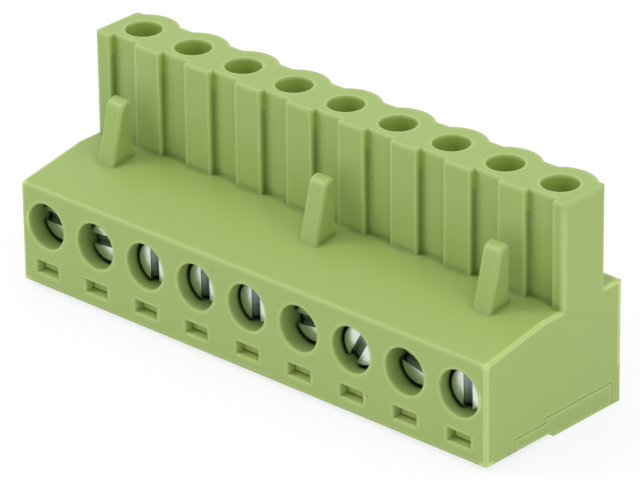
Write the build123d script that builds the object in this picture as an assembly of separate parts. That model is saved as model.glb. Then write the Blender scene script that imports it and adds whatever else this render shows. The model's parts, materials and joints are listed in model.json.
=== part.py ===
from build123d import *
import os
from math import radians, tan

# Pluggable screw terminal block, nine ways, millimetres.
# +X runs along the row of poles, -Y is the face with the clamp screws, +Z is the way the
# block plugs into its header. The origin is at the middle of the underside, z = 0 where it stands.

# Row of poles
POLES = 9
PITCH = 5.08
END_REACH = 2.55
pole_x = [(i - (POLES - 1) / 2) * PITCH for i in range(POLES)]

# Housing, lower body: depth, heights of the front face, the ledge and the roof, which slopes
# up to a level strip before the nose
DEPTH = 14.6
FRONT_LIFT = 0.4
FRONT_TOP = 8.37
ROOF_TOP = 9.5
ROOF_SLOPE_END = 6.3
NOSE_FRONT = 8.3
LEDGE_TOP = 9.7
BODY_ROUND = 0.4
END_BEVEL = 0.15
FRONT_WALL = 1.6
REAR_WALL = 0.9
END_WALL = 1.2
CHAMBER_WALL = 0.7

# Housing, mating nose: flat back, round-backed pole barrels and coding grooves in front
NOSE_TOP = 17.8
NOSE_BACK = 12.85
NOSE_ROUND = 0.3
BARREL_R = 2.71
VALLEY_ROUND = 0.35
PIN_Y = 10.89
PIN_R = 1.41
PIN_HOLE_DEPTH = 1.6
GROOVE_LEFT = 1.08
GROOVE_RIGHT = 1.45
GROOVE_DEPTH = 0.5
SOCKET_WIDTH = 3.4
SOCKET_DEPTH = 2.9
FOOT_PLAY = 0.05

# Latch fins standing on the roof, a header wall's width in front of the nose
FIN_X = (-18.72, 1.63, 18.23)
FIN_THICKNESS = 1.63
FIN_FRONT = 4.72
FIN_GAP = 1.35
FIN_TOP = 14.1
FIN_LEAN = 14.5
FIN_ROOT = 0.4
FIN_CROWN_R = 0.8
FIN_BACK_R = 0.25
FIN_BEVEL = 0.15

# Clamp screws and their wells
SCREW_Z = 5.4
WELL_R = 1.825
WELL_DEPTH = 3.05
NECK_LENGTH = 0.7
NECK_CLEARANCE = 0.08
HEAD_R = 1.6
HEAD_HEIGHT = 1.3
SHANK_R = 1.4
SHANK_LENGTH = 5.55
SLOT_WIDTH = 0.86
SLOT_DEPTH = 0.72
HEAD_SUNK = (1.45, 1.2, 1.0, 1.1, 1.1, 1.48, 1.0, 1.45, 1.0)
HEAD_SHIFT = (0.0, 0.1, 0.03, -0.07, -0.1, 0.0, 0.0, 0.0, -0.02)
SLOT_TURN = (0, 6, 90, 90, 90, 6, 60, -13, 90)

# Rising clamp cages, drawn fully open
CAGE_WIDTH = 3.9
CAGE_HEIGHT = 5.0
CAGE_NEAR_WALL = 1.2
CAGE_FAR_WALL = 0.8
CAGE_SIDE_WALL = 0.45
CAGE_FAR_INSIDE = 11.95
CAGE_TRAVEL = 2.5
CAGE_CORNER = 0.3
CAGE_END_PLAY = 0.1
CAGE_TOP_PLAY = 0.2
THREAD_CLEARANCE = 0.05
SERRATIONS = 3
SERRATION_PITCH = 1.1
SERRATION_DEPTH = 0.15

# Contacts: current bar through the cage, a foot plate above it and two spring leaves
STRIP = 0.6
BAR_WIDTH = 2.2
BAR_PLAY = 0.05
BAR_TO_CAGE = 0.1
LEAF_WIDTH = 2.0
LEAF_GAP_FOOT = 1.5
LEAF_GAP_PINCH = 0.8
LEAF_GAP_MOUTH = 1.7
LEAF_MOUTH_BELOW = 0.3
LEAF_FLARE = 0.9
FOOT_ABOVE_CAGE = 0.15

# Wire cover: the plate that closes the underside and carries the wire funnels
STEP_Y = 6.8
STEP_RUN = 0.5
COVER_JOG_Y = 6.45
COVER_FRONT_TOP = 1.35
COVER_REAR_TOP = 1.75
COVER_END_FRONT = 3.1
SEAM = 0.03
FUNNEL_MOUTH = (4.0, 4.1)
FUNNEL_THROAT_WIDTH = 2.5
FUNNEL_FLAT = 0.45
WINDOW_WIDTH = 2.24
WINDOW_LOW = 1.34
WINDOW_HEIGHT = 1.04
LATCH_PLAY = 0.08
LATCH_REACH = 0.78
LATCH_THICKNESS = 0.75
LATCH_POCKET = 1.0
OVERCUT = 1.0

# Places worked out from the sizes above
half_length = (POLES - 1) * PITCH / 2 + END_REACH
front_bottom = FRONT_LIFT
chamber_width = PITCH - CHAMBER_WALL
chamber_front = WELL_DEPTH + NECK_LENGTH
chamber_top = SCREW_Z + CAGE_HEIGHT / 2 + CAGE_TOP_PLAY
cover_back = DEPTH - REAR_WALL
tip_y = max(HEAD_SUNK) + HEAD_HEIGHT + SHANK_LENGTH
bar_front = tip_y + BAR_PLAY
bar_back = bar_front + STRIP
cage_near_inside = chamber_front + CAGE_END_PLAY + CAGE_NEAR_WALL + CAGE_TRAVEL
cage_back = CAGE_FAR_INSIDE + CAGE_FAR_WALL
chamber_back = cage_back + CAGE_END_PLAY
foot_level = SCREW_Z + CAGE_HEIGHT / 2 + FOOT_ABOVE_CAGE
neck_ceiling = foot_level + STRIP + FOOT_PLAY
wire_y = (bar_back + CAGE_FAR_INSIDE) / 2
socket_top = NOSE_TOP - PIN_HOLE_DEPTH
fin_back = NOSE_FRONT - FIN_GAP


def block(x_span, y_span, z_span):
    """A box between two corners, with each axis given as a (low, high) pair."""
    size = [high - low for low, high in (x_span, y_span, z_span)]
    return Pos(x_span[0], y_span[0], z_span[0]) * Box(*size, align=(Align.MIN,) * 3)


def side_prism(points, x_low, x_high):
    """An outline of (y, z) points carried along the row from x_low to x_high."""
    outline = make_face(Polyline(*points, close=True))
    return Pos(x_low, 0, 0) * extrude(Plane.YZ * outline, amount=x_high - x_low)


def front_prism(points, y_low, y_high):
    """An outline of (x, z) points carried from y_low back to y_high."""
    outline = make_face(Polyline(*points, close=True))
    return Pos(0, y_high, 0) * extrude(Plane.XZ * outline, amount=y_high - y_low)


def rod(x, y_span, z, radius):
    """A round bar that runs front to back."""
    length = y_span[1] - y_span[0]
    bar = Cylinder(radius, length, align=(Align.CENTER, Align.CENTER, Align.MIN))
    return Pos(x, y_span[0], z) * Rot(-90, 0, 0) * bar


def roof_at(y):
    """Height of the roof, whose level strip carries on as the floor of the coding grooves."""
    return FRONT_TOP + (ROOF_TOP - FRONT_TOP) * min(y / ROOF_SLOPE_END, 1)


# Housing shell

def lower_body():
    """The stepped block below the nose, its front edge rounded and its end edges broken."""
    groove_back = NOSE_FRONT + GROOVE_DEPTH
    outline = [
        (0, front_bottom),
        (0, FRONT_TOP),
        (ROOF_SLOPE_END, ROOF_TOP),
        (groove_back, ROOF_TOP),
        (groove_back, LEDGE_TOP),
        (DEPTH, LEDGE_TOP),
        (DEPTH, 0),
        (STEP_Y + STEP_RUN, 0),
        (STEP_Y, front_bottom),
    ]
    body = side_prism(outline, -half_length, half_length)
    front_edges = body.edges().filter_by(lambda e: abs(e.center().Y) < 1e-6).filter_by(Axis.X)
    body = fillet(front_edges.sort_by(Axis.Z)[-1], BODY_ROUND)
    end_edges = body.edges().filter_by(lambda e: abs(abs(e.center().X) - half_length) < 1e-6)
    front_ends = end_edges.filter_by(lambda e: e.center().Y < NOSE_FRONT)
    return chamfer(front_ends.filter_by(lambda e: e.center().Z > front_bottom + 1e-6), END_BEVEL)


def nose():
    """The tall mating part: a bar with a round barrel behind each pole and a groove before it."""
    foot = chamber_top
    bar = block((-half_length, half_length), (NOSE_FRONT, NOSE_BACK), (foot, NOSE_TOP))
    bar = fillet(bar.edges().filter_by(Axis.Z), NOSE_ROUND)
    for x in pole_x:
        barrel = Cylinder(BARREL_R, NOSE_TOP - foot, align=(Align.CENTER, Align.CENTER, Align.MIN))
        bar += Pos(x, PIN_Y, foot) * barrel
    bar &= block((-half_length, half_length), (NOSE_FRONT, DEPTH), (foot, NOSE_TOP))
    back_edges = bar.edges().filter_by(Axis.Z).filter_by(lambda e: abs(e.center().Y - NOSE_BACK) < 1e-6)
    valleys = back_edges.filter_by(lambda e: abs(e.center().X) < half_length - NOSE_ROUND - 1e-6)
    bar = fillet(valleys, VALLEY_ROUND)
    for x in pole_x:
        groove = block(
            (x - GROOVE_LEFT, x + GROOVE_RIGHT),
            (NOSE_FRONT - OVERCUT, NOSE_FRONT + GROOVE_DEPTH),
            (foot - OVERCUT, NOSE_TOP + OVERCUT),
        )
        bar -= groove
    return bar


def fin(x):
    """One latch fin: leaning front, rounded crown, upright back, narrow bevels on its edges."""
    lean = tan(radians(FIN_LEAN))
    base = roof_at(FIN_FRONT)
    crown_front = FIN_FRONT + lean * (FIN_TOP - base)
    crown = fin_back - crown_front
    sunk_front = FIN_FRONT - lean * FIN_ROOT
    outline = [
        (sunk_front, base - FIN_ROOT),
        (crown_front, FIN_TOP),
        (fin_back, FIN_TOP),
        (fin_back, base - FIN_ROOT),
    ]
    blade = side_prism(outline, x - FIN_THICKNESS / 2, x + FIN_THICKNESS / 2)
    top_edges = blade.edges().filter_by(Axis.X).group_by(Axis.Z)[-1].sort_by(Axis.Y)
    blade = fillet(top_edges[0], min(FIN_CROWN_R, 0.85 * crown))
    back_edge = blade.edges().filter_by(Axis.X).group_by(Axis.Z)[-1].sort_by(Axis.Y)[-1]
    blade = fillet(back_edge, min(FIN_BACK_R, 0.3 * crown))
    soft = blade.edges().filter_by(lambda e: abs(e.center().X - x) > FIN_THICKNESS / 4)
    return chamfer(soft.filter_by(lambda e: e.center().Z > base), FIN_BEVEL)


def pole_cavities(x, shift):
    """Everything hollow in one pole: well, neck, cage chamber, socket, pin hole, latch window."""
    well = rod(x, (-OVERCUT, WELL_DEPTH), SCREW_Z, WELL_R)
    neck_y = (WELL_DEPTH - OVERCUT, chamber_front + OVERCUT)
    neck = rod(x + shift, neck_y, SCREW_Z, SHANK_R + NECK_CLEARANCE)
    across = (x - chamber_width / 2, x + chamber_width / 2)
    chamber = block(across, (chamber_front, chamber_back), (COVER_FRONT_TOP, chamber_top))
    socket_x = (x - SOCKET_WIDTH / 2, x + SOCKET_WIDTH / 2)
    socket_y = (PIN_Y - SOCKET_DEPTH / 2, PIN_Y + SOCKET_DEPTH / 2)
    socket = block(socket_x, socket_y, (chamber_top - OVERCUT, socket_top))
    throat = block(socket_x, (bar_front - BAR_TO_CAGE, socket_y[1]), (chamber_top - OVERCUT, neck_ceiling))
    hole_length = PIN_HOLE_DEPTH + OVERCUT
    hole = Cylinder(PIN_R, hole_length, align=(Align.CENTER, Align.CENTER, Align.MIN))
    hole = Pos(x, PIN_Y, socket_top) * hole
    window_x = (x - WINDOW_WIDTH / 2, x + WINDOW_WIDTH / 2)
    window = block(window_x, (-OVERCUT, FRONT_WALL), (WINDOW_LOW, WINDOW_LOW + WINDOW_HEIGHT))
    pocket_top = WINDOW_LOW + WINDOW_HEIGHT + 2 * LATCH_PLAY
    pocket_y = (FRONT_WALL, FRONT_WALL + LATCH_THICKNESS + LATCH_POCKET)
    pocket = block(window_x, pocket_y, (COVER_FRONT_TOP - OVERCUT, pocket_top))
    return [well, neck, chamber, socket, throat, hole, window, pocket]


def cover_recess():
    """The room the wire cover fills: seated on the walls between poles, seams at its rim."""
    inside = half_length - END_WALL
    low = -OVERCUT
    front = block((-inside, inside), (FRONT_WALL, COVER_JOG_Y), (low, COVER_FRONT_TOP))
    rear = block((-inside, inside), (COVER_JOG_Y - SEAM, cover_back), (low, COVER_REAR_TOP))
    notch = [
        (COVER_END_FRONT, low),
        (COVER_END_FRONT, COVER_FRONT_TOP + SEAM),
        (COVER_JOG_Y - SEAM, COVER_FRONT_TOP + SEAM),
        (COVER_JOG_Y - SEAM, COVER_REAR_TOP + SEAM),
        (cover_back, COVER_REAR_TOP + SEAM),
        (cover_back, low),
    ]
    left_end = side_prism(notch, -half_length - OVERCUT, -inside)
    right_end = side_prism(notch, inside, half_length + OVERCUT)
    return [front, rear, left_end, right_end]


def housing():
    """The moulded shell in one piece."""
    shell = lower_body() + nose()
    for x in FIN_X:
        shell += fin(x)
    for x, shift in zip(pole_x, HEAD_SHIFT):
        shell -= pole_cavities(x, shift)
    shell -= cover_recess()
    return shell


# Wire cover

def cover_outline(front_y):
    """The stepped cross-section of the plate, from front_y back to the rear wall's seam."""
    back_y = cover_back - SEAM
    return [
        (front_y, front_bottom),
        (front_y, COVER_FRONT_TOP),
        (COVER_JOG_Y, COVER_FRONT_TOP),
        (COVER_JOG_Y, COVER_REAR_TOP),
        (back_y, COVER_REAR_TOP),
        (back_y, 0),
        (STEP_Y + STEP_RUN, 0),
        (STEP_Y, front_bottom),
    ]


def funnel(x):
    """A wire funnel: wide rectangular mouth, four flat tapering sides, short straight throat."""
    mouth_x, mouth_y = (width / 2 for width in FUNNEL_MOUTH)
    throat_x = FUNNEL_THROAT_WIDTH / 2
    throat_y = (CAGE_FAR_INSIDE - bar_back) / 2
    taper_top = COVER_REAR_TOP - FUNNEL_FLAT
    x_sides = [(x - mouth_x, 0), (x + mouth_x, 0), (x + throat_x, taper_top), (x - throat_x, taper_top)]
    y_sides = [
        (wire_y - mouth_y, 0),
        (wire_y + mouth_y, 0),
        (wire_y + throat_y, taper_top),
        (wire_y - throat_y, taper_top),
    ]
    taper = front_prism(x_sides, wire_y - mouth_y, wire_y + mouth_y)
    taper &= side_prism(y_sides, x - mouth_x, x + mouth_x)
    throat_z = (taper_top, COVER_REAR_TOP + OVERCUT)
    throat = block((x - throat_x, x + throat_x), (wire_y - throat_y, wire_y + throat_y), throat_z)
    return taper + throat


def latch(x):
    """A springy tongue behind the front wall, its nose caught in the window."""
    width = WINDOW_WIDTH - 2 * LATCH_PLAY
    low = WINDOW_LOW + LATCH_PLAY
    top = WINDOW_LOW + WINDOW_HEIGHT - LATCH_PLAY
    root_y = FRONT_WALL + SEAM
    tip = FRONT_WALL - LATCH_REACH
    outline = [
        (root_y, front_bottom),
        (root_y, low),
        (tip, low),
        (tip, top - LATCH_REACH / 2),
        (root_y, top),
        (root_y + LATCH_THICKNESS, top),
        (root_y + LATCH_THICKNESS, front_bottom),
    ]
    return side_prism(outline, x - width / 2, x + width / 2)


def wire_cover():
    """The plate in one piece with its nine latches, open at nine funnels."""
    inside = half_length - END_WALL - SEAM
    plate = side_prism(cover_outline(FRONT_WALL + SEAM), -inside, inside)
    plate += side_prism(cover_outline(COVER_END_FRONT + SEAM), -half_length, half_length)
    for x in pole_x:
        plate += latch(x)
    for x in pole_x:
        plate -= funnel(x)
    return plate


# Clamp screw, cage and contact of one pole

def clamp_screw(x, sunk, turn):
    """A slotted screw with a cheese head, its slot turned as found."""
    head = rod(0, (0, HEAD_HEIGHT), 0, HEAD_R)
    screw = head + rod(0, (0, HEAD_HEIGHT + SHANK_LENGTH), 0, SHANK_R)
    slot_half = SLOT_WIDTH / 2
    slot = block((-HEAD_R - OVERCUT, HEAD_R + OVERCUT), (-OVERCUT, SLOT_DEPTH), (-slot_half, slot_half))
    screw -= Rot(0, -turn, 0) * slot
    return Pos(x, sunk, SCREW_Z) * screw


def clamp_cage(x):
    """A plated cage round the bar and the wire, tapped for the screw, ribbed where it grips."""
    near = cage_near_inside - CAGE_NEAR_WALL
    half_width = CAGE_WIDTH / 2
    z_span = (SCREW_Z - CAGE_HEIGHT / 2, SCREW_Z + CAGE_HEIGHT / 2)
    cage = block((-half_width, half_width), (near, cage_back), z_span)
    cage = chamfer(cage.edges().filter_by(Axis.Z), CAGE_CORNER)
    inner = half_width - CAGE_SIDE_WALL
    z_through = (z_span[0] - OVERCUT, z_span[1] + OVERCUT)
    cage -= block((-inner, inner), (cage_near_inside, CAGE_FAR_INSIDE), z_through)
    for i in range(SERRATIONS):
        z = SCREW_Z + (i - (SERRATIONS - 1) / 2) * SERRATION_PITCH
        notch = [
            (CAGE_FAR_INSIDE - SERRATION_DEPTH, z - 2 * SERRATION_DEPTH),
            (CAGE_FAR_INSIDE + SERRATION_DEPTH, z),
            (CAGE_FAR_INSIDE - SERRATION_DEPTH, z + 2 * SERRATION_DEPTH),
        ]
        cage -= side_prism(notch, -inner, inner)
    cage -= rod(0, (near - OVERCUT, cage_near_inside + OVERCUT), SCREW_Z, SHANK_R + THREAD_CLEARANCE)
    return Pos(x, 0, 0) * cage


def leaf(side):
    """One spring leaf, bowed in to pinch the pin and flared at its mouth."""
    foot_top = foot_level + STRIP
    mouth = socket_top - LEAF_MOUTH_BELOW
    gaps = ((foot_top, LEAF_GAP_FOOT), (mouth - LEAF_FLARE, LEAF_GAP_PINCH), (mouth, LEAF_GAP_MOUTH))
    inner = [(side * gap / 2, z) for z, gap in gaps]
    outer = [(side * (gap / 2 + STRIP), z) for z, gap in reversed(gaps)]
    return front_prism(inner + outer, PIN_Y - LEAF_WIDTH / 2, PIN_Y + LEAF_WIDTH / 2)


def contact(x):
    """The female contact: bar down through the cage, foot plate, two leaves in the nose."""
    half_bar = BAR_WIDTH / 2
    bar = block((-half_bar, half_bar), (bar_front, bar_back), (COVER_REAR_TOP, foot_level + STRIP))
    half_foot = LEAF_GAP_FOOT / 2 + STRIP
    plate_y = (bar_front, PIN_Y + LEAF_WIDTH / 2)
    plate = block((-half_foot, half_foot), plate_y, (foot_level, foot_level + STRIP))
    return Pos(x, 0, 0) * (bar + plate + leaf(1) + leaf(-1))


# Write each piece to its own file, moved from the front face back to the middle of the base

os.makedirs("parts", exist_ok=True)
pieces = {"housing": housing(), "wire_cover": wire_cover()}
for i, x in enumerate(pole_x):
    screw_x = x + HEAD_SHIFT[i]
    pieces[f"clamp_screw_{i + 1}"] = clamp_screw(screw_x, HEAD_SUNK[i], SLOT_TURN[i])
    pieces[f"clamp_cage_{i + 1}"] = clamp_cage(screw_x)
    pieces[f"contact_{i + 1}"] = contact(x)
for name, shape in pieces.items():
    export_step(Pos(0, -DEPTH / 2, 0) * shape, f"parts/{name}.step")
    print(name, len(shape.solids()), round(shape.volume, 3))
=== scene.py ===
import json
import math

import bmesh
import bpy
import numpy as np
from mathutils import Matrix, Vector

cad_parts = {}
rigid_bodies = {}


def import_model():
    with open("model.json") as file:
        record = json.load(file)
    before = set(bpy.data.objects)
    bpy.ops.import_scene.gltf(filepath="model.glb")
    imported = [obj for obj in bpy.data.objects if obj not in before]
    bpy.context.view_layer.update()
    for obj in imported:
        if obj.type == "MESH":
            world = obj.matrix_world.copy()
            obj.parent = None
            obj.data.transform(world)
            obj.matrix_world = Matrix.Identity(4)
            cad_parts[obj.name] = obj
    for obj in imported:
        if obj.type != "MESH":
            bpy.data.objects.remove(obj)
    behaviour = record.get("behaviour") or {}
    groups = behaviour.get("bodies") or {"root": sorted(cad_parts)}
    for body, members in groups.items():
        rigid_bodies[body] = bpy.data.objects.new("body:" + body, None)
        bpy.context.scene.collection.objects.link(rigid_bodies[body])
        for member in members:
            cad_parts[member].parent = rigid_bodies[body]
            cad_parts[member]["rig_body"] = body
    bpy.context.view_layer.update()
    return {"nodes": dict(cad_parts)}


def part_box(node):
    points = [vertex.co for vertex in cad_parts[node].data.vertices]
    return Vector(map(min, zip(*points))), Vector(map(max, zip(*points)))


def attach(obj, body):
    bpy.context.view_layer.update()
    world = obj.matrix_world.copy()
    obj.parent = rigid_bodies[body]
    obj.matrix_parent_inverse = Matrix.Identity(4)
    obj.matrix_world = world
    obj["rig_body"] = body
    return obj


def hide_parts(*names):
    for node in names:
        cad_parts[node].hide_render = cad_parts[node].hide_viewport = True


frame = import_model()

# Housing
# One moulding in light green polyamide without glass fibre. Its outer edges are softened by the
# mould, and the polished tool leaves a satin skin with a faint grain.


class Wire:
    """A value running through a material, which adds, takes away, multiplies and compares like a number."""

    def __init__(self, finish, socket):
        self.finish = finish
        self.socket = socket

    def _math(self, operation, *values):
        return self.finish.node("ShaderNodeMath", {"operation": operation}, *values)

    def __add__(self, other):
        return self._math("ADD", self, other)

    def __sub__(self, other):
        return self._math("SUBTRACT", self, other)

    def __rsub__(self, other):
        return self._math("SUBTRACT", other, self)

    def __mul__(self, other):
        return self._math("MULTIPLY", self, other)

    def __gt__(self, other):
        return self._math("GREATER_THAN", self, other)

    def __lt__(self, other):
        return self._math("LESS_THAN", self, other)


class Finish:
    """A material and the nodes that make its surface."""

    def __init__(self, name):
        self.material = bpy.data.materials.new(name)
        self.material.use_nodes = True
        self.tree = self.material.node_tree
        self.shader = next(n for n in self.tree.nodes if n.type == "BSDF_PRINCIPLED")

    def node(self, kind, settings=None, *values, out=0, **named):
        """A node of this kind, with its settings first and then its sockets, as one output."""
        made = self.tree.nodes.new(kind)
        for key, value in (settings or {}).items():
            if key == "stops":
                ramp = made.color_ramp
                while len(ramp.elements) < len(value):
                    ramp.elements.new(0.5)
                for element, (place, colour) in zip(ramp.elements, value):
                    element.position = place
                    element.color = colour
            else:
                setattr(made, key, value)
        for key, value in list(enumerate(values)) + list(named.items()):
            socket = made.inputs[key.replace("_", " ") if isinstance(key, str) else key]
            self.plug(value, socket)
        return Wire(self, made.outputs[out])

    def plug(self, value, socket):
        if isinstance(value, Wire):
            self.tree.links.new(value.socket, socket)
        else:
            socket.default_value = value

    def set(self, **inputs):
        for key, value in inputs.items():
            self.plug(value, self.shader.inputs[key.replace("_", " ")])
        return self.material

    def place(self):
        return self.node("ShaderNodeTexCoord", out="Object")

    def along(self, axis):
        """How far along X, Y or Z the surface lies, in metres."""
        return self.node("ShaderNodeSeparateXYZ", {}, self.place(), out=axis)

    def openness(self, reach, samples=8, inside=False):
        """1 where nothing stands within this reach of the surface, down to 0 where it is shut in.
        Looking inside, what stands near is the far side of the solid itself."""
        settings = {"samples": samples, "inside": inside}
        return self.node("ShaderNodeAmbientOcclusion", settings, Distance=reach, out="AO")

    def fade(self, value, start, end, most=1.0):
        """0 where the value is at the start, rising to the most where it is at the end."""
        return self.node("ShaderNodeMapRange", {}, value, start, end, 0.0, most)

    def noise(self, scale, detail=2.0):
        """Cloudy noise with this many clouds to a metre."""
        return self.node("ShaderNodeTexNoise", {}, Vector=self.place(), Scale=scale, Detail=detail)

    def mix(self, factor, low, high):
        """Two colours mixed by a factor."""
        made = self.tree.nodes.new("ShaderNodeMix")
        made.data_type = "RGBA"
        self.plug(factor, made.inputs[0])
        self.plug(low, made.inputs[6])
        self.plug(high, made.inputs[7])
        return Wire(self, made.outputs[2])

    def bump(self, height, distance, strength, under=None):
        """A normal tilted by a height, over another normal where one is given."""
        settings = {"Strength": strength, "Distance": distance, "Height": height}
        if under:
            settings["Normal"] = under
        return self.node("ShaderNodeBump", {}, **settings)


GREEN = (0.288, 0.398, 0.108, 1.0)
GREEN_DEEP = (0.276, 0.386, 0.098, 1.0)
# The next two colours are painted light: a paler green for the painted highlight on edges and the painted
# glow in the windows, and a yellower green for the painted glow in the pin openings.
GREEN_PAINTED_LIGHT = (0.490, 0.605, 0.200, 1.0)
GREEN_PAINTED_GLOW = (0.290, 0.460, 0.045, 1.0)
SPECK = (0.090, 0.095, 0.045, 1.0)
WHITE = (1.0, 1.0, 1.0, 1.0)
# Painted shade: how dark the wells, the gap round each screw head and the crevices are painted, by how open
# they are.
WELL_SHADES = (
    (0.10, (0.46, 0.50, 0.38, 1.0)),
    (0.34, (0.68, 0.74, 0.58, 1.0)),
    (0.60, WHITE),
)
GAP_SHADES = (
    (0.60, (0.04, 0.05, 0.04, 1.0)),
    (0.80, WHITE),
)
CREVICE_SHADES = (
    (0.40, (0.46, 0.56, 0.30, 1.0)),
    (0.92, WHITE),
)
# How fine the drift, specks, grain and ripple are, in cells to a metre, and how deep.
DRIFT_SCALE = 90.0
SPECK_SCALE = 260.0
SPECK_SIZE = 0.018
GRAIN_SCALE = 9000.0
RIPPLE_SCALE = 700.0
GRAIN_SHARE = 0.4
SKIN_DEPTH = 0.00001
# How far each painted shade and painted light looks for walls nearby, and how strong the weaker ones are.
WELL_REACH = 0.003
GAP_REACH = 0.0004
CREVICE_REACH = 0.0007
HOLE_REACH = 0.003
EDGE_REACH = 0.00036
WINDOW_CLEARED = 0.8
PAINTED_GLOW_SHARE = 0.6
RIM_HIGHLIGHT_SHARE = 0.5
SEAM_QUIET = 0.75
# Where each painted shade and painted light applies, in the object's own frame.
WELL_BACK = -0.0042
WINDOW_FRONT = -0.00727
WINDOW_BACK = -0.0050
WINDOW_SILL = 0.0013
WINDOW_HEAD = 0.0026
WINDOW_ROW = 0.0220
END_CORNER = 0.0222
SEAM_FRONT = -0.0065
SEAM_TOP = 0.0030
NOSE_RIM = 0.0176
NOSE_RIM_FADE = 0.0008
PIN_LAND = 0.0162
HOUSING_EDGE = 0.00030


def green_polyamide(name, edge_radius):
    """Satin green with a slow drift of tone, a fine grain and a few dark specks. Its outer edges,
    most of all the upright corners of the end faces, carry a painted highlight, and the thin walls of
    the windows and the pin openings a painted glow, so they show paler or yellower than the flats.
    The wells, the gap round each screw head and the crevices carry painted shade, so they show
    darker. Both the painted highlight and the painted crevice shade are kept quiet along the cover's seam on
    the end faces."""
    finish = Finish(name)
    body = finish.mix(finish.noise(DRIFT_SCALE, 3.0), GREEN_DEEP, GREEN)
    cell = finish.node("ShaderNodeTexVoronoi", {}, Vector=finish.place(), Scale=SPECK_SCALE)
    body = finish.mix(cell < SPECK_SIZE, body, SPECK)
    across, depth, height = (finish.along(axis) for axis in "XYZ")
    in_well = (depth < WELL_BACK) * (height > WINDOW_HEAD)
    in_window = (depth > WINDOW_FRONT) * (depth < WINDOW_BACK) * (across * across < WINDOW_ROW**2)
    in_window = in_window * (height > WINDOW_SILL) * (height < WINDOW_HEAD)
    at_end = across * across > END_CORNER**2
    on_seam = at_end * (depth > SEAM_FRONT) * (height < SEAM_TOP)
    elsewhere = 1 - in_well - in_window * WINDOW_CLEARED - on_seam
    # Painted shade: darken the wells, paint a near-black line in the gap round each screw head, and darken
    # the crevices, where walls stand near.
    for reach, shades, where in (
        (WELL_REACH, WELL_SHADES, in_well),
        (GAP_REACH, GAP_SHADES, in_well),
        (CREVICE_REACH, CREVICE_SHADES, elsewhere),
    ):
        shade = finish.node("ShaderNodeValToRGB", {"stops": shades}, finish.openness(reach))
        shade = finish.mix(where, WHITE, shade)
        body = finish.node("ShaderNodeVectorMath", {"operation": "MULTIPLY"}, body, shade)
    # Painted glow: the pin openings and the windows are lightened and yellowed as if lit through their thin
    # walls.
    in_hole = finish.fade(finish.openness(HOLE_REACH), 0.8, 0.4) * (height > PIN_LAND)
    body = finish.mix(in_hole * PAINTED_GLOW_SHARE, body, GREEN_PAINTED_GLOW)
    body = finish.mix(in_window * PAINTED_GLOW_SHARE, body, GREEN_PAINTED_LIGHT)
    # Painted highlight: the outer edges, most of all the upright corners of the end faces, are lightened,
    # less along the cover's seam.
    solid = finish.openness(EDGE_REACH, samples=12, inside=True)
    rim_highlight = finish.fade(solid, 0.98, 0.6, RIM_HIGHLIGHT_SHARE)
    corner = finish.fade(solid, 0.98, 0.8)
    upright = at_end * finish.fade(height, NOSE_RIM, NOSE_RIM - NOSE_RIM_FADE)
    edge = (rim_highlight + (corner - rim_highlight) * upright) * (1 - on_seam * SEAM_QUIET)
    colour = finish.mix(edge, body, GREEN_PAINTED_LIGHT)
    relief = finish.noise(GRAIN_SCALE) * GRAIN_SHARE + finish.noise(RIPPLE_SCALE)
    rounded = finish.node("ShaderNodeBevel", {"samples": 6}, edge_radius)
    normal = finish.bump(relief, SKIN_DEPTH, 0.5, rounded)
    return finish.set(Base_Color=colour, Roughness=0.42, IOR=1.5, Normal=normal)


SAME_POINT = 2e-6
SLIVER = 1e-7
CORNER_TURN = math.radians(28.0)


def skin(name, cad_node, material):
    """A copy of a CAD node's mesh, joined into one skin that shades smooth up to its corners."""
    source = frame["nodes"][cad_node]
    mesh = source.data.copy()
    mesh.name = name
    joined = bmesh.new()
    joined.from_mesh(mesh)
    bmesh.ops.remove_doubles(joined, verts=joined.verts, dist=SAME_POINT)
    bmesh.ops.dissolve_degenerate(joined, dist=SLIVER, edges=joined.edges)
    for face in joined.faces:
        face.smooth = True
    joined.to_mesh(mesh)
    joined.free()
    mesh.attributes.remove(mesh.attributes["custom_normal"])
    mesh.set_sharp_from_angle(angle=CORNER_TURN)
    mesh.materials.clear()
    mesh.materials.append(material)
    piece = bpy.data.objects.new(name, mesh)
    bpy.context.scene.collection.objects.link(piece)
    shading = piece.modifiers.new("flats stay flat", "WEIGHTED_NORMAL")
    shading.weight = 100
    shading.keep_sharp = True
    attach(piece, source["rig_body"])
    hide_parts(cad_node)
    return piece


shell = skin("housing_shell", "housing", green_polyamide("green_polyamide", HOUSING_EDGE))

# Wire cover
# The same green polyamide in a second moulding, pressed into the underside until its nine
# latch noses snap into the windows of the front wall.

COVER_EDGE = 0.00006

cover = skin("wire_cover_plate", "wire_cover", green_polyamide("green_polyamide_cover", COVER_EDGE))

# Clamp screws
# Turned steel screws, M3 by 0.5, with slotted cheese heads and bright zinc plating. Each turns in
# place in its well, and draws its cage along its thread.

POLES = range(1, 10)
ZINC = (0.72, 0.77, 0.72, 1.0)
# Painted shade colour for down in the slot.
ZINC_PAINTED_SHADE = (0.20, 0.27, 0.36, 1.0)
SLOT_REACH = 0.0008
PIT_DEPTH = 0.000004


def bright_zinc():
    """Bright plating, cloudy and finely pitted, with painted shade making it darker and bluer down in the
    slot.
    """
    finish = Finish("zinc_plated_steel")
    cloud = finish.noise(1500.0, 3.0)
    rough = cloud * 0.14 + 0.16
    # Painted shade: the zinc turns darker and bluer down in the slot, where walls stand near.
    painted_slot_shade = finish.fade(finish.openness(SLOT_REACH), 0.9, 0.3)
    colour = finish.mix(painted_slot_shade, ZINC, ZINC_PAINTED_SHADE)
    normal = finish.bump(finish.noise(5000.0), PIT_DEPTH, 0.5)
    return finish.set(Base_Color=colour, Metallic=1.0, Roughness=rough, Normal=normal)


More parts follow.
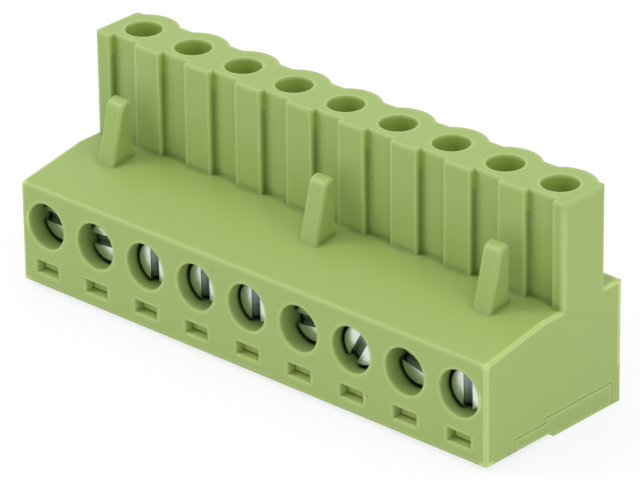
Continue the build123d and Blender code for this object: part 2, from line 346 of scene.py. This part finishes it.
HEAD_RADIUS = 0.00160
RIM_ROUND = 0.00012
SLOT_ROLL = 0.00026
SHANK_RADIUS = 0.00140
THREAD_CREST = 0.00143
THREAD_ROOT = 0.00120
THREAD_PITCH = 0.0005
THREAD_STEPS = 28
THREAD_SUNK = 0.00004
THREAD_PROFILE = (-0.46, -0.06, 0.06, 0.46)
THREAD_START = 0.0004
THREAD_STOP = 0.0002
THREAD_PHASE = 0.4
THREAD_CORNER = math.radians(35.0)
SHANK_LENGTH = 0.00555
SHANK_SLACK = 0.00001
ON_PLANE = 1e-6
SORTED_ALONG = Vector((1.0, 1.7, 2.9))


def thread_ridge(axis_x, axis_z, start, length, phase):
    """A helix ridge: from the root to a narrow crest and back, its corners THREAD_PROFILE pitches
    along the axis from its middle, carried round and along the axis one pitch a turn. Its height
    runs out to nothing over half a turn at both ends."""
    turns = length / THREAD_PITCH
    steps = int(turns * THREAD_STEPS) + 1
    angle = np.linspace(0.0, turns * 2 * np.pi, steps)
    along = start + np.linspace(0.0, length, steps)
    fade = np.clip(np.minimum(angle, angle[-1] - angle) / np.pi, 0.02, 1.0)
    crest = THREAD_ROOT + (THREAD_CREST - THREAD_ROOT) * fade
    root = np.full(steps, THREAD_ROOT - THREAD_SUNK)
    radius = np.stack([root, crest, crest, root], 1)
    offset = np.array(THREAD_PROFILE) * THREAD_PITCH * fade[:, None]
    turn = (angle + phase)[:, None]
    points = np.stack([
        axis_x + radius * np.cos(turn),
        along[:, None] + offset,
        axis_z + radius * np.sin(turn),
    ], 2)
    ring = np.arange(4)
    row = np.arange(steps - 1)[:, None] * 4
    quads = np.stack([row + ring, row + (ring + 1) % 4, row + 4 + (ring + 1) % 4, row + 4 + ring], 2)
    ends = [(3, 2, 1, 0), tuple(int(i) for i in (steps - 1) * 4 + ring)]
    return points.reshape(-1, 3), [tuple(q) for q in quads.reshape(-1, 4).tolist()] + ends


def soften_head(mesh, front):
    """The head's rim rounded as turned, then the slot's two long edges rolled over as the driver
    leaves them. An edge lies on the front plane, and is the slot's where it is nearly as long as
    the head is wide. The bevels leave their parts in an order that varies from run to run, so
    they are sorted along one slanted line."""
    head = bmesh.new()
    head.from_mesh(mesh)
    bmesh.ops.dissolve_limit(head, angle_limit=0.01, verts=head.verts, edges=head.edges)

    def front_edges(long):
        return [
            edge for edge in head.edges
            if max(abs(v.co.y - front) for v in edge.verts) < ON_PLANE
            and (edge.calc_length() > HEAD_RADIUS) == long
        ]

    bmesh.ops.bevel(head, geom=front_edges(False), offset=RIM_ROUND, segments=3, affect="EDGES", profile=0.5)
    bmesh.ops.bevel(head, geom=front_edges(True), offset=SLOT_ROLL, segments=4, affect="EDGES", profile=0.5)
    for face in head.faces:
        face.smooth = True
    head.verts.sort(key=lambda vert: vert.co.dot(SORTED_ALONG))
    head.edges.sort(key=lambda edge: (edge.verts[0].co + edge.verts[1].co).dot(SORTED_ALONG))
    head.faces.sort(key=lambda face: face.calc_center_median().dot(SORTED_ALONG))
    head.to_mesh(mesh)
    head.free()


def threaded(name, cad_node, material):
    """The turned blank with its shank brought down to the thread's root, and the ridge on it."""
    low, high = (np.array(corner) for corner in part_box(cad_node))
    axis = (low + high) / 2
    tip = high[1]
    screw = skin(name, cad_node, material)
    body = screw.data
    soften_head(body, low[1])
    place = np.zeros(len(body.vertices) * 3)
    body.vertices.foreach_get("co", place)
    place = place.reshape(-1, 3)
    across = place[:, [0, 2]] - axis[[0, 2]]
    reach = np.hypot(across[:, 0], across[:, 1])
    shank = (place[:, 1] > tip - SHANK_LENGTH - SHANK_SLACK) & (reach < SHANK_RADIUS + SHANK_SLACK)
    place[np.ix_(shank, [0, 2])] = axis[[0, 2]] + across[shank] * (THREAD_ROOT / SHANK_RADIUS)
    body.vertices.foreach_set("co", place.ravel())
    start = tip - SHANK_LENGTH + THREAD_START
    points, faces = thread_ridge(axis[0], axis[2], start, tip - THREAD_STOP - start, THREAD_PHASE)
    ridge = bpy.data.meshes.new(name + "_thread")
    ridge.from_pydata(points.tolist(), [], faces)
    ridge.polygons.foreach_set("use_smooth", [False] * len(ridge.polygons))
    joined = bmesh.new()
    joined.from_mesh(body)
    joined.from_mesh(ridge)
    joined.to_mesh(body)
    joined.free()
    body.set_sharp_from_angle(angle=THREAD_CORNER)
    bpy.data.meshes.remove(ridge)
    return screw


zinc = bright_zinc()
for pole in POLES:
    screw = threaded(f"screw_{pole}", f"clamp_screw_{pole}", zinc)

# Clamp cages
# Steel cages folded round the contact's bar, tapped for the screw and satin nickel plated. Each
# slides forwards in its chamber to pinch the wire against the bar.

NICKEL = (0.72, 0.70, 0.66, 1.0)


def satin_nickel():
    finish = Finish("nickel_plated_steel")
    rough = finish.noise(900.0, 3.0) * 0.15 + 0.25
    return finish.set(Base_Color=NICKEL, Metallic=1.0, Roughness=rough)


nickel = satin_nickel()
for pole in POLES:
    cage = skin(f"cage_{pole}", f"clamp_cage_{pole}", nickel)

# Contacts
# Bronze strip, stamped and folded into a bar, a foot and two leaves under the pin opening, with a
# matte tin finish. It is held fast in the housing.

TIN = (0.78, 0.76, 0.72, 1.0)


def matte_tin():
    finish = Finish("tinned_bronze")
    rough = finish.noise(700.0, 3.0) * 0.15 + 0.38
    return finish.set(Base_Color=TIN, Metallic=1.0, Roughness=rough)


tin = matte_tin()
for pole in POLES:
    strip = skin(f"contact_strip_{pole}", f"contact_{pole}", tin)

# Floor and studio light
# A white sheet under and behind the block, a broad lamp overhead, a smaller one high on the
# left that reaches into the wells, and a soft one for the right end.

PAPER = (0.86, 0.86, 0.86, 1.0)
PAPER_GLOW = 0.8
FLOOR_HALF = 3.0
FLOOR_HEIGHT = -0.00002


def white_floor():
    """White paper that shows as plain white, yet keeps the block's faint shadow."""
    finish = Finish("white_floor")
    finish.set(Base_Color=PAPER, Roughness=0.9)
    paper = Wire(finish, finish.shader.outputs[0])
    glow = finish.node("ShaderNodeEmission", {}, WHITE, 1.0)
    seen = finish.node("ShaderNodeLightPath", out="Is Camera Ray")
    mirrored = finish.node("ShaderNodeLightPath", out="Is Glossy Ray")
    sheet_white = finish.node("ShaderNodeMixShader", {}, (seen + mirrored) * PAPER_GLOW, paper, glow)
    output = next(n for n in finish.tree.nodes if n.type == "OUTPUT_MATERIAL")
    finish.plug(sheet_white, output.inputs["Surface"])
    return finish.material


def sheet(name, half, height, material):
    """A flat square at one height."""
    mesh = bpy.data.meshes.new(name)
    corners = [(-half, -half, height), (half, -half, height), (half, half, height), (-half, half, height)]
    mesh.from_pydata(corners, [], [(0, 1, 2, 3)])
    mesh.materials.append(material)
    made = bpy.data.objects.new(name, mesh)
    bpy.context.scene.collection.objects.link(made)
    return made


floor = sheet("floor", FLOOR_HALF, FLOOR_HEIGHT, white_floor())

LAMP_AIM = Vector((0.0, 0.0, 0.008))
SKY_LEVEL = 0.87


def softbox(name, place, size, power):
    """A square lamp that faces the block."""
    data = bpy.data.lights.new(name, "AREA")
    data.shape = "SQUARE"
    data.size = size
    data.energy = power
    lamp = bpy.data.objects.new(name, data)
    lamp.location = place
    aim = LAMP_AIM - Vector(place)
    lamp.rotation_mode = "QUATERNION"
    lamp.rotation_quaternion = aim.to_track_quat("-Z", "Y")
    bpy.context.scene.collection.objects.link(lamp)


softbox("overhead lamp", place=(0.05, 0.10, 0.80), size=0.7, power=1.35)
softbox("key lamp", place=(-0.70, -0.51, 0.77), size=0.40, power=3.85)
softbox("right lamp", place=(0.75, -0.10, 0.35), size=0.5, power=1.26)

world = bpy.data.worlds.new("studio")
bpy.context.scene.world = world
world.use_nodes = True
sky = world.node_tree
backdrop = sky.nodes["Background"]
backdrop.inputs["Color"].default_value = WHITE
rays = sky.nodes.new("ShaderNodeLightPath")
level = sky.nodes.new("ShaderNodeMix")
level.data_type = "FLOAT"
level.inputs[2].default_value = SKY_LEVEL
level.inputs[3].default_value = 1.0
sky.links.new(rays.outputs["Is Camera Ray"], level.inputs[0])
sky.links.new(level.outputs[0], backdrop.inputs["Strength"])

# Camera
# A long lens, above and to the right of the screws, as in the photograph.

FOCAL_PX = 5755.95
FRAME_PX = 640
CAMERA_AZIMUTH = math.radians(42.653)
CAMERA_HEIGHT = math.radians(26.120)
CAMERA_ROLL = math.radians(-0.7246)
CAMERA_AIM = Vector((0.0, 0.0006315, 0.0079116))
CAMERA_DISTANCE = 0.41932

back = Vector((
    math.cos(CAMERA_HEIGHT) * math.sin(CAMERA_AZIMUTH),
    -math.cos(CAMERA_HEIGHT) * math.cos(CAMERA_AZIMUTH),
    math.sin(CAMERA_HEIGHT),
))
level_right = Vector((math.cos(CAMERA_AZIMUTH), math.sin(CAMERA_AZIMUTH), 0.0))
level_up = back.cross(level_right)
right = level_right * math.cos(CAMERA_ROLL) + level_up * math.sin(CAMERA_ROLL)
up = level_up * math.cos(CAMERA_ROLL) - level_right * math.sin(CAMERA_ROLL)
lens = bpy.data.cameras.new("camera")
lens.sensor_width = 36.0
lens.lens = FOCAL_PX / FRAME_PX * lens.sensor_width
lens.clip_start = 0.01
lens.clip_end = 20.0
camera = bpy.data.objects.new("camera", lens)
turned = Matrix((right, up, back)).transposed().to_4x4()
turned.translation = CAMERA_AIM + back * CAMERA_DISTANCE
camera.matrix_world = turned
bpy.context.scene.collection.objects.link(camera)
bpy.context.scene.camera = camera
bpy.context.scene.view_settings.view_transform = "Standard"
